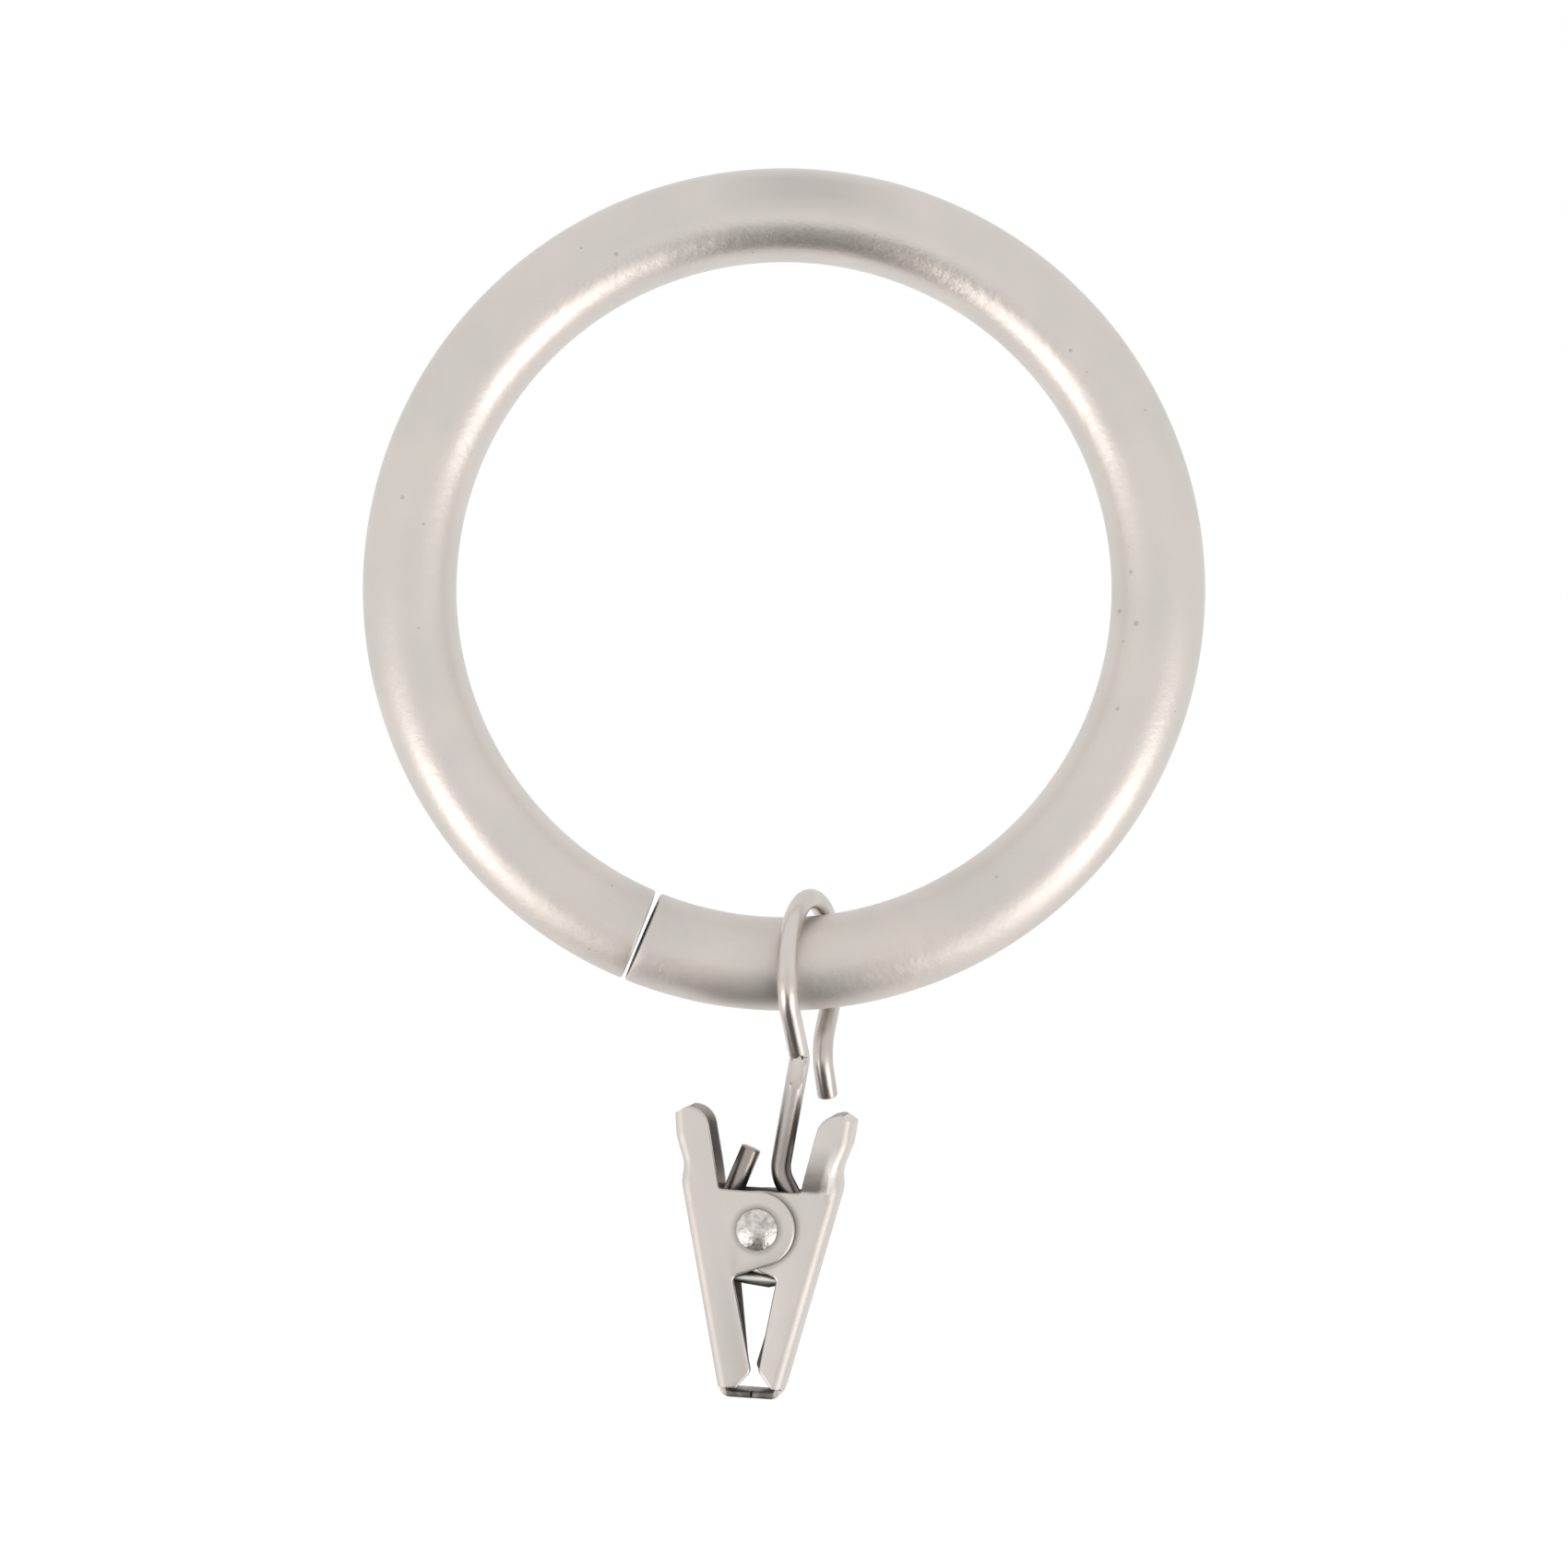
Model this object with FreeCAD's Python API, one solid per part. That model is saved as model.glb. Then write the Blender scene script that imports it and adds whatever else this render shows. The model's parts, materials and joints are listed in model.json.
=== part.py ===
"""Curtain ring with a hanging wire hook and a sprung two-jaw clip, in millimetres.

The origin is the centre of the ring, +Y runs along the curtain rod and +Z is up.
The clip is drawn in its own frame first: its pivot at the origin, X across the jaws,
Y along the rivet and Z up the handles. It is then set on the hook's eye.
"""
import math
import os

import FreeCAD, Part

# Ring: a round tube bent to a circle and butted
RING_OUTSIDE = 57.15
TUBE_DIAMETER = 6.35
TUBE_WALL = 0.5
SEAM_ANGLE = 22.5
SEAM_LEAN = 5.0
SEAM_GAP_INSIDE = 0.45
SEAM_GAP_OUTSIDE = 0.22
SEAM_EDGE_ROUND = 0.18

# Hook: one bent wire
WIRE_DIAMETER = 1.38
HOOK_CLEARANCE = 0.485
HOOK_STATION = 4.0
HOOK_TURN = 21.0
SHOULDER_DROP = 2.2
SHOULDER_BEND = 3.0
THROAT_HALF = 2.1
THROAT_DROP = 6.0
THROAT_BEND = 3.0
FLARE = 1.3
FLARE_LENGTH = 3.2
KINK_ACROSS = -0.7
KINK_FORWARD = 1.0
KINK_DROP = 6.4
KINK_BEND = 0.9
PINCH_LENGTH = 1.9
PINCH_START = -0.35
PINCH_DEPTH = 0.14
SHANK_LEAN = 30.0
SHANK_BEND = 2.2
SHANK_BEND_HEIGHT = 3.8
EYE_BEND = 2.5
EYE_DROP = 1.88
TAIL_LEAN = 20.0
TAIL_HEIGHT = 5.35

# Place of the clip's pivot, measured from the centre of the ring's tube at the hook
PIVOT_ACROSS = -3.32
PIVOT_DROP = 17.9
CLIP_TURN = 6.5
CLIP_TILT = 3.1

# Jaw: one sheet stamping, used twice
SHEET = 0.5
JAW_WIDTH = 5.0
OUTER_BEND = 0.65
LAP_CLEARANCE = 0.05
WEB_AT_PIVOT = 4.68
WEB_SLOPE = 13.2
CHANNEL_DROP = 10.75
GRIP_DIP = 0.42
GRIP_DIP_HEIGHT = 4.1
KNUCKLE_BELOW_DIP = 1.15
GRIP_SWELL = 5.87
SWELL_ABOVE_DIP = 1.9
HANDLE_TOP = 6.04
HANDLE_HEIGHT = 8.0
GRIP_BEND = 2.0
FLAT_DEPTH_CROTCH = 2.4
FLAT_DEPTH_FOOT = 2.5
STEPPED_DEPTH_CROTCH = 2.47
STEPPED_DEPTH_FOOT = 1.92
HANDLE_CORNER = 0.8
HANDLE_CORNER_DROP = 0.5
HANDLE_INNER = 3.95
HANDLE_ROUND = 1.5
EAR_RADIUS = 2.55
EAR_CORNER = 2.75
EAR_CORNER_ROUND = 0.3
CROTCH_DROP = 3.3
CROTCH_ROUND = 0.4
JAW_CORNER_RISE = 1.15
JAW_CORNER_INSET = 1.2
JAW_CORNER_ROUND = 0.5
JAW_FOOT_ROUND = 0.2
STEP_ABOVE_DIP = 0.6
STEP_RISE = 2.0
STEP_STRIP = 0.6
STEP_STRIP_RISE = 2.5

# Lip: the end of the jaw's back, bent inwards and toothed
LIP_DROP = 11.5
LIP_WIDTH = 3.0
LIP_BEND = 0.75
TOOTH_HEIGHT = 0.35
TOOTH_COUNT = 4
JAW_GAP = 0.08

# Rivet
SHANK_DIAMETER = 2.0
SHANK_CLEARANCE = 0.05
HEAD_DIAMETER = 2.78
HEAD_HEIGHT = 0.6
HEAD_RIM = 0.12
HEAD_CLEARANCE = 0.03
CLINCH_DIAMETER = 2.9
CLINCH_HEIGHT = 0.42
CLINCH_DIMPLE = 0.6
CLINCH_DEPTH = 0.35

# Leaf spring
STRIP = 0.6
STRIP_WIDTH = 2.5
STRIP_EDGE = 0.2
SPRING_BEND = 1.6
SPRING_DROP = 3.5
SPRING_FOOT = 3.0
SPRING_SEAT = 0.05
SPRING_TIP = 1.0

# What follows from the sizes above
tube_radius = TUBE_DIAMETER / 2
ring_radius = RING_OUTSIDE / 2 - tube_radius
wire_radius = WIRE_DIAMETER / 2
loop_radius = tube_radius + HOOK_CLEARANCE + wire_radius
station = math.radians(HOOK_STATION)
tube_at_hook = FreeCAD.Vector(ring_radius * math.sin(station), 0, -ring_radius * math.cos(station))
pivot = tube_at_hook + FreeCAD.Vector(PIVOT_ACROSS, 0, -PIVOT_DROP)
clip_turn = FreeCAD.Rotation(FreeCAD.Vector(0, 0, 1), -CLIP_TURN)
clip_tilt = FreeCAD.Rotation(FreeCAD.Vector(0, 1, 0), CLIP_TILT)
clip_place = FreeCAD.Placement(pivot, clip_turn.multiply(clip_tilt))
half_width = JAW_WIDTH / 2
lap_step = SHEET + LAP_CLEARANCE
knuckle_height = GRIP_DIP_HEIGHT - KNUCKLE_BELOW_DIP
swell_height = GRIP_DIP_HEIGHT + SWELL_ABOVE_DIP
step_top = GRIP_DIP_HEIGHT + STEP_ABOVE_DIP
step_bottom = step_top - STEP_RISE
strip_bottom = step_top - STEP_STRIP_RISE
web_rise = math.tan(math.radians(WEB_SLOPE))
web_shift = SHEET / math.cos(math.radians(WEB_SLOPE))
REACH = 4 * JAW_WIDTH
NEAR = 1e-4


def clip_point(across, up, along=0.0):
    """A point of the clip's own frame."""
    return FreeCAD.Vector(across, along, up)


def rounded_path(points, radii):
    """Straight runs through the points, with a tangent arc at each inner one, or a plain corner for 0."""
    edges = []
    start = points[0]
    for before, corner, after, radius in zip(points, points[1:], points[2:], radii):
        if radius == 0:
            edges.append(Part.LineSegment(start, corner).toShape())
            start = corner
            continue
        back = (before - corner).normalize()
        ahead = (after - corner).normalize()
        half_angle = back.getAngle(ahead) / 2
        tangent = radius / math.tan(half_angle)
        entry = corner + back * tangent
        leave = corner + ahead * tangent
        middle_way = (back + ahead).normalize()
        middle = corner + middle_way * (radius / math.sin(half_angle) - radius)
        if start.distanceToPoint(entry) > NEAR:
            edges.append(Part.LineSegment(start, entry).toShape())
        edges.append(Part.Arc(entry, middle, leave).toShape())
        start = leave
    if start.distanceToPoint(points[-1]) > NEAR:
        edges.append(Part.LineSegment(start, points[-1]).toShape())
    return edges


def polygon(points):
    """A flat face with straight sides."""
    return Part.Face(Part.makePolygon(list(points) + [points[0]]))


def across_clip(face, start, end):
    """A face of the clip's X-Z plane made solid from start to end along the rivet."""
    moved = face.translated(FreeCAD.Vector(0, start, 0))
    return moved.extrude(FreeCAD.Vector(0, end - start, 0))


def tangent_angle(point, centre, radius, side):
    """Angle, seen from the centre, at which a line from the point touches the circle."""
    offset = point - centre
    return math.atan2(offset.z, offset.x) + side * math.acos(radius / offset.Length)


def on_circle(centre, radius, angle):
    """Point of a circle in the X-Z plane."""
    return centre + FreeCAD.Vector(radius * math.cos(angle), 0, radius * math.sin(angle))


def web_outside(up):
    """Distance of the jaw's straight back from the clip's axis at a height."""
    return WEB_AT_PIVOT + up * web_rise


def make_ring():
    """Hollow ring, cut square across its tube and rounded at the two ends."""
    flat = FreeCAD.Vector(0, 1, 0)
    turned = []
    for radius in (tube_radius, tube_radius - TUBE_WALL):
        circle = Part.Circle(FreeCAD.Vector(ring_radius, 0, 0), FreeCAD.Vector(0, 0, 1), radius)
        disc = Part.Face(Part.Wire(circle.toShape()))
        turned.append(disc.revolve(FreeCAD.Vector(), flat, 360))
    tube = turned[0].cut(turned[1])
    spare = tube_radius / 2
    inside = ring_radius - tube_radius - spare
    outside = ring_radius + tube_radius + spare
    slope = (SEAM_GAP_INSIDE - SEAM_GAP_OUTSIDE) / TUBE_DIAMETER
    inside_half = (SEAM_GAP_INSIDE + slope * spare) / 2
    outside_half = (SEAM_GAP_OUTSIDE - slope * spare) / 2
    wedge = polygon([
        FreeCAD.Vector(-inside_half, -TUBE_DIAMETER, -inside),
        FreeCAD.Vector(inside_half, -TUBE_DIAMETER, -inside),
        FreeCAD.Vector(outside_half, -TUBE_DIAMETER, -outside),
        FreeCAD.Vector(-outside_half, -TUBE_DIAMETER, -outside),
    ]).extrude(FreeCAD.Vector(0, 2 * TUBE_DIAMETER, 0))
    wedge.rotate(FreeCAD.Vector(), FreeCAD.Vector(0, 0, 1), SEAM_LEAN)
    wedge.rotate(FreeCAD.Vector(), flat, SEAM_ANGLE)
    ring = tube.cut(wedge)
    end_edges = []
    for face in ring.Faces:
        if isinstance(face.Surface, Part.Plane):
            end_edges += face.OuterWire.Edges
    return ring.makeFillet(SEAM_EDGE_ROUND, end_edges)


def hook_point(out, drop):
    """Point of the hook's loop: out from the tube's centre (front is minus), and below it."""
    turn = math.radians(HOOK_TURN)
    return tube_at_hook + FreeCAD.Vector(out * math.sin(turn), out * math.cos(turn), -drop)


def make_hook():
    """The wire, from its flared end over the tube, down the shank and round the eye."""
    shank_lean = math.radians(SHANK_LEAN)
    tail_lean = math.radians(TAIL_LEAN)
    eye_right = EYE_BEND * math.tan((math.pi / 2 + shank_lean) / 2)
    eye_left = EYE_BEND * math.tan((math.pi / 2 + tail_lean) / 2)
    shank_foot = eye_right - (SHANK_BEND_HEIGHT + EYE_DROP) * math.tan(shank_lean)
    tail_tip = -eye_left + (TAIL_HEIGHT + EYE_DROP) * math.tan(tail_lean)
    kink = tube_at_hook + FreeCAD.Vector(KINK_ACROSS, -KINK_FORWARD, -KINK_DROP)
    bend = clip_place.multVec(clip_point(shank_foot, SHANK_BEND_HEIGHT))
    points = [
        hook_point(THROAT_HALF + FLARE, THROAT_DROP + FLARE_LENGTH),
        hook_point(THROAT_HALF, THROAT_DROP),
        hook_point(loop_radius, SHOULDER_DROP),
        hook_point(loop_radius, -loop_radius),
        hook_point(-loop_radius, -loop_radius),
        hook_point(-loop_radius, SHOULDER_DROP),
        kink,
        bend,
        clip_place.multVec(clip_point(eye_right, -EYE_DROP)),
        clip_place.multVec(clip_point(-eye_left, -EYE_DROP)),
        clip_place.multVec(clip_point(tail_tip, TAIL_HEIGHT)),
    ]
    radii = [THROAT_BEND, SHOULDER_BEND, loop_radius, loop_radius, SHOULDER_BEND,
             KINK_BEND, SHANK_BEND, EYE_BEND, EYE_BEND]
    path = Part.Wire(rounded_path(points, radii))
    start_way = points[1] - points[0]
    section = Part.Wire(Part.Circle(points[0], start_way, wire_radius).toShape())
    wire = path.makePipeShell([section], True, False)
    return wire.cut(pinch_tool(kink, bend))


def pinch_tool(kink, bend):
    """Block that leaves the small flat pressed into the front of the wire below its kink."""
    down = (bend - kink).normalize()
    front = (FreeCAD.Vector(0, -1, 0) - down * (FreeCAD.Vector(0, -1, 0).dot(down))).normalize()
    side = down.cross(front)
    low = wire_radius - PINCH_DEPTH
    corner = kink + front * low - side * WIRE_DIAMETER + down * PINCH_START
    block = polygon([
        corner,
        corner + side * (2 * WIRE_DIAMETER),
        corner + side * (2 * WIRE_DIAMETER) + down * PINCH_LENGTH,
        corner + down * PINCH_LENGTH,
    ])
    return block.extrude(front * WIRE_DIAMETER)


def web_points(shift=0.0, spare=0.0):
    """Corners of the jaw's back from its foot to the top of the handle, moved inwards by a shift."""
    dip = web_outside(GRIP_DIP_HEIGHT) - GRIP_DIP
    sides = [
        (web_outside(-CHANNEL_DROP - spare), -CHANNEL_DROP - spare),
        (web_outside(knuckle_height), knuckle_height),
        (dip, GRIP_DIP_HEIGHT),
        (GRIP_SWELL, swell_height),
        (HANDLE_TOP, HANDLE_HEIGHT + spare),
    ]
    return [clip_point(shift - out, up) for out, up in sides]


def jaw_outline(depth_crotch, depth_foot):
    """Side view of a flange of the left jaw: back, handle, ear round the rivet and jaw."""
    web = web_points()
    foot_inner = clip_point(web[0].x + depth_foot - JAW_CORNER_INSET, -CHANNEL_DROP)
    corner_up = JAW_CORNER_RISE - CHANNEL_DROP
    jaw_corner = clip_point(depth_foot - web_outside(corner_up), corner_up)
    crotch = clip_point(depth_crotch - web_outside(-CROTCH_DROP), -CROTCH_DROP)
    centre = FreeCAD.Vector()
    lobe_top = clip_point(0, EAR_RADIUS)
    lobe_end_angle = tangent_angle(crotch, centre, EAR_RADIUS, 1)
    lobe_end = on_circle(centre, EAR_RADIUS, lobe_end_angle)
    lobe_side = on_circle(centre, EAR_RADIUS, (math.pi / 2 + lobe_end_angle) / 2)
    upper = web[:-1] + [
        clip_point(-HANDLE_TOP, HANDLE_HEIGHT - HANDLE_CORNER_DROP),
        clip_point(HANDLE_CORNER - HANDLE_TOP, HANDLE_HEIGHT),
        clip_point(-HANDLE_INNER, HANDLE_HEIGHT),
        clip_point(-EAR_CORNER, EAR_RADIUS),
        lobe_top,
    ]
    upper_radii = [GRIP_BEND, GRIP_BEND, GRIP_BEND, 0, 0, HANDLE_ROUND, EAR_CORNER_ROUND]
    lower = [lobe_end, crotch, jaw_corner, foot_inner, web[0]]
    lower_radii = [CROTCH_ROUND, JAW_CORNER_ROUND, JAW_FOOT_ROUND]
    edges = rounded_path(upper, upper_radii)
    edges.append(Part.Arc(lobe_top, lobe_side, lobe_end).toShape())
    edges += rounded_path(lower, lower_radii)
    return Part.Face(Part.Wire(edges))


def bent_block(outline, plane):
    """One flange as a solid block from the clip's middle to its plane, the back rounded there."""
    block = across_clip(outline, 0, plane)
    back = Part.Wire(rounded_path(web_points(), [GRIP_BEND] * 3))
    bends = []
    for edge in block.Edges:
        middle = edge.valueAt((edge.FirstParameter + edge.LastParameter) / 2)
        on_plane = all(abs(vertex.Point.y - plane) < NEAR for vertex in edge.Vertexes)
        flat_middle = Part.Vertex(clip_point(middle.x, middle.z))
        if on_plane and back.distToShape(flat_middle)[0] < NEAR:
            bends.append(edge)
    return block.makeFillet(OUTER_BEND, bends)


def above_step(back_by=0.0):
    """Space in which the stepped flange still stands in its outer plane, ending in a hollow slope."""
    outer = half_width - back_by
    bow = (STEP_RISE ** 2 + lap_step ** 2) / (2 * lap_step)
    half_bow = math.asin(STEP_RISE / bow) / 2

    def at(along, up):
        return FreeCAD.Vector(-REACH, along, up)

    top = at(outer, step_top)
    bottom = at(outer - lap_step, step_bottom)
    middle = at(outer - bow * (1 - math.cos(half_bow)), step_top - bow * math.sin(half_bow))
    slope = Part.Arc(top, middle, bottom).toShape()
    rest = Part.makePolygon([bottom, at(-REACH, step_bottom), at(-REACH, REACH), at(REACH, REACH),
                             at(REACH, step_top), top])
    side = Part.Face(Part.Wire([slope] + rest.Edges))
    return side.extrude(FreeCAD.Vector(2 * REACH, 0, 0))


def corner_strip():
    """Space of the back's bend that stays wide beside the slope of the stepped flange."""
    side = polygon([
        clip_point(-REACH, strip_bottom),
        clip_point(STEP_STRIP - web_outside(strip_bottom), strip_bottom),
        clip_point(STEP_STRIP - web_outside(GRIP_DIP_HEIGHT) + GRIP_DIP, GRIP_DIP_HEIGHT),
        clip_point(STEP_STRIP - web_outside(step_top) + GRIP_DIP, step_top),
        clip_point(-REACH, step_top),
    ])
    return across_clip(side, -REACH, REACH)


def jaw_hollow():
    """Room between the two flanges, narrower below the step."""
    path = rounded_path(web_points(web_shift, REACH), [GRIP_BEND] * 3)
    foot = path[0].valueAt(path[0].FirstParameter)
    top = path[-1].valueAt(path[-1].LastParameter)
    closing = Part.makePolygon([top, clip_point(REACH, top.z), clip_point(REACH, foot.z), foot])
    room = Part.Face(Part.Wire(path + closing.Edges))
    flat_side = SHEET - half_width
    narrow = across_clip(room, flat_side, half_width - lap_step - SHEET)
    wide = across_clip(room, flat_side, half_width - SHEET)
    return narrow.fuse(wide.common(above_step(SHEET))).removeSplitter()


def make_lip():
    """Tab bent from the foot of the back, with teeth that mesh with the other jaw's."""
    foot = web_points()[0]
    outer_corner = clip_point(-web_outside(-LIP_DROP), -LIP_DROP)
    inner_up = SHEET - LIP_DROP
    inner_corner = clip_point(web_shift - web_outside(inner_up), inner_up)
    tip = LIP_WIDTH
    outer = rounded_path([foot, outer_corner, clip_point(tip, -LIP_DROP)], [LIP_BEND])
    inner = rounded_path([clip_point(tip, inner_up), inner_corner, foot + clip_point(web_shift, 0)],
                         [LIP_BEND - SHEET])
    end = Part.LineSegment(clip_point(tip, -LIP_DROP), clip_point(tip, inner_up)).toShape()
    top = Part.LineSegment(foot + clip_point(web_shift, 0), foot).toShape()
    tab = across_clip(Part.Face(Part.Wire(outer + [end] + inner + [top])), -LIP_WIDTH / 2, LIP_WIDTH / 2)
    pitch = LIP_WIDTH / TOOTH_COUNT
    low = -LIP_DROP - LIP_WIDTH
    edge = []
    for index in range(-1, TOOTH_COUNT + 1):
        height = TOOTH_HEIGHT if index % 2 == 0 else -TOOTH_HEIGHT
        along = (index + 0.5) * pitch - LIP_WIDTH / 2
        edge.append(clip_point(height - JAW_GAP / 2, low, along))
    far = [clip_point(2 * LIP_WIDTH, low, edge[-1].y), clip_point(2 * LIP_WIDTH, low, edge[0].y)]
    beyond = polygon(edge + far).extrude(FreeCAD.Vector(0, 0, 2 * LIP_WIDTH))
    return tab.cut(beyond)


def make_jaw():
    """Left jaw: channel with a flat ear in front and a stepped ear behind, and the toothed lip."""
    flat = bent_block(jaw_outline(FLAT_DEPTH_CROTCH, FLAT_DEPTH_FOOT), -half_width)
    stepped_outline = jaw_outline(STEPPED_DEPTH_CROTCH, STEPPED_DEPTH_FOOT)
    wide = bent_block(stepped_outline, half_width)
    narrow = bent_block(stepped_outline, half_width - lap_step)
    kept = above_step().fuse(corner_strip())
    beyond = across_clip(polygon([
        clip_point(-REACH, -REACH), clip_point(REACH, -REACH),
        clip_point(REACH, REACH), clip_point(-REACH, REACH),
    ]), half_width - lap_step - OUTER_BEND, REACH)
    stepped = flat.fuse(wide.cut(beyond.cut(narrow).cut(kept)))
    channel = stepped.cut(jaw_hollow())
    hole = Part.makeCylinder(SHANK_DIAMETER / 2 + SHANK_CLEARANCE, 2 * JAW_WIDTH,
                             FreeCAD.Vector(0, -JAW_WIDTH, 0), FreeCAD.Vector(0, 1, 0))
    jaw = channel.cut(hole).fuse(make_lip()).removeSplitter()
    return jaw.Solids[0]


def make_rivet():
    """Domed head in front, plain shank, and a clinched end behind with its dimple."""
    shank = SHANK_DIAMETER / 2
    head = HEAD_DIAMETER / 2
    clinch = CLINCH_DIAMETER / 2
    seat = half_width + HEAD_CLEARANCE
    front = -seat - HEAD_HEIGHT
    rear = seat + CLINCH_HEIGHT

    def at(radius, along):
        return FreeCAD.Vector(radius, along, 0)

    def dome(rim, crown, rim_at):
        rise = crown - rim_at
        curve = (rim * rim + rise * rise) / (2 * rise)
        half = math.asin(rim / abs(curve)) / 2
        middle = at(abs(curve) * math.sin(half), crown - curve * (1 - math.cos(half)))
        return Part.Arc(at(rim, rim_at), middle, at(0, crown)).toShape()

    front_dome = dome(head, front, -seat - HEAD_RIM)
    dimple = dome(CLINCH_DIMPLE, rear - CLINCH_DEPTH, rear)
    side = Part.makePolygon([
        at(head, -seat - HEAD_RIM), at(head, -seat), at(shank, -seat), at(shank, seat), at(clinch, seat),
        at(clinch, seat + CLINCH_HEIGHT / 2), at(CLINCH_DIMPLE, rear),
    ])
    axis = Part.LineSegment(at(0, rear - CLINCH_DEPTH), at(0, front)).toShape()
    profile = Part.Wire(Part.__sortEdges__([front_dome] + side.Edges + [dimple, axis]))
    return Part.Face(profile).revolve(FreeCAD.Vector(), FreeCAD.Vector(0, 1, 0), 360)


def make_spring():
    """Bent strip: a flat bottom under the eye and two legs that seat behind the grips' dips."""
    seat_out = web_outside(GRIP_DIP_HEIGHT) - GRIP_DIP - web_shift - SPRING_SEAT - STRIP / 2
    leg_rise = GRIP_DIP_HEIGHT + SPRING_DROP
    tip_out = seat_out + (seat_out - SPRING_FOOT) * SPRING_TIP / leg_rise
    tip_up = GRIP_DIP_HEIGHT + SPRING_TIP
    points = [clip_point(-tip_out, tip_up), clip_point(-SPRING_FOOT, -SPRING_DROP),
              clip_point(SPRING_FOOT, -SPRING_DROP), clip_point(tip_out, tip_up)]
    path = Part.Wire(rounded_path(points, [SPRING_BEND, SPRING_BEND]))
    down = (points[1] - points[0]).normalize()
    thick = down.cross(FreeCAD.Vector(0, 1, 0)) * (STRIP / 2)
    wide = FreeCAD.Vector(0, STRIP_WIDTH / 2, 0)
    start = points[0]
    corners = [start + thick + wide, start - thick + wide, start - thick - wide, start + thick - wide]
    section = Part.makePolygon(corners + [corners[0]])
    strip = path.makePipeShell([section], True, False)
    faces = [face for face in strip.Faces if abs(face.normalAt(0, 0).y) > 1 - NEAR]
    return strip.makeFillet(STRIP_EDGE, [edge for face in faces for edge in face.OuterWire.Edges])


def on_clip(shape):
    """A shape of the clip's own frame, set where the clip hangs."""
    shape.Placement = clip_place.multiply(shape.Placement)
    return shape


def main():
    left_jaw = make_jaw()
    right_jaw = left_jaw.copy()
    right_jaw.rotate(FreeCAD.Vector(), FreeCAD.Vector(0, 0, 1), 180)
    nodes = {
        "ring": make_ring(),
        "wire_hook": make_hook(),
        "left_jaw": on_clip(left_jaw),
        "right_jaw": on_clip(right_jaw),
        "rivet": on_clip(make_rivet()),
        "leaf_spring": on_clip(make_spring()),
    }
    os.makedirs("parts", exist_ok=True)
    for name, shape in nodes.items():
        print(name, shape.isValid(), len(shape.Solids), round(shape.Volume, 3))
        shape.exportStep("parts/" + name + ".step")


main()
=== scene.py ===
"""Curtain ring with clip: smooth metal pieces, satin finishes, soft light and the camera."""
import json
import math
from collections import namedtuple

import bpy
from bpy.props import FloatProperty, FloatVectorProperty, IntProperty, PointerProperty
from mathutils import Matrix, Vector

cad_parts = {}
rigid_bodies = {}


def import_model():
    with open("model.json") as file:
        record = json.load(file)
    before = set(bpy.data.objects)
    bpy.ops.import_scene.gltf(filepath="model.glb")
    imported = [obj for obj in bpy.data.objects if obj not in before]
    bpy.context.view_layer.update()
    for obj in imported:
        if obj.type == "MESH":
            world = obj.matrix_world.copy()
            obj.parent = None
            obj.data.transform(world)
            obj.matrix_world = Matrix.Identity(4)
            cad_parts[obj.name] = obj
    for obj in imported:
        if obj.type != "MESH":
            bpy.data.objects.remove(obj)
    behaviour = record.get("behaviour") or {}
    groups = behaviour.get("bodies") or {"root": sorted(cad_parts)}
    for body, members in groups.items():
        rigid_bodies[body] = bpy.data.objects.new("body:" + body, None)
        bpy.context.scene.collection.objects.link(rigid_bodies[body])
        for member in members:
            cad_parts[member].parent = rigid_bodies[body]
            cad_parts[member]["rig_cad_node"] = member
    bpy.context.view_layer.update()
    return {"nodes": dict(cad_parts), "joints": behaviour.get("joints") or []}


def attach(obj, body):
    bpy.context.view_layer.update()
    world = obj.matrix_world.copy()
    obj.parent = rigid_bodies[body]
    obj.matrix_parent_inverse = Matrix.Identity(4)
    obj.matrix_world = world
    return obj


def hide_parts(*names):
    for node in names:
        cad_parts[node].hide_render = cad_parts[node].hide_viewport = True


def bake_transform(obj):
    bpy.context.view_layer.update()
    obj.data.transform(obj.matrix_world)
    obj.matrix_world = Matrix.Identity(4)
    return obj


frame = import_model()

bl_info = {
    "name": "Curtain ring with clip",
    "version": (1, 0, 0),
    "blender": (4, 5, 0),
    "location": "View3D > Sidebar > Curtain ring",
    "description": "Models the ring, its hook and its clip, and gives every metal its finish",
    "category": "Object",
}

MM = 0.001
NEAR = 0.001 * MM

# How finely the pieces are divided.
RIM_STEPS = 5
BEND_STEP = math.radians(6)
RUN_STEP = 0.2 * MM
DOME_STEPS = 10
SWELL_STEPS = 5
EDGE_STEPS = 3
STRIP_EDGE_STEPS = 5
RIVET_SIDES = 64

# Angles that part a flat face from a bend and a bend from an edge.
FLAT_ANGLE = math.radians(0.5)
SMOOTH_ANGLE = math.radians(32)
STRIP_EDGE_ANGLE = math.radians(40)
STAMPED_ANGLE = math.radians(50)
FACING = 0.999

UNDERCUT = 0.9
WEB_SLOPE = 0.2345

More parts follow.
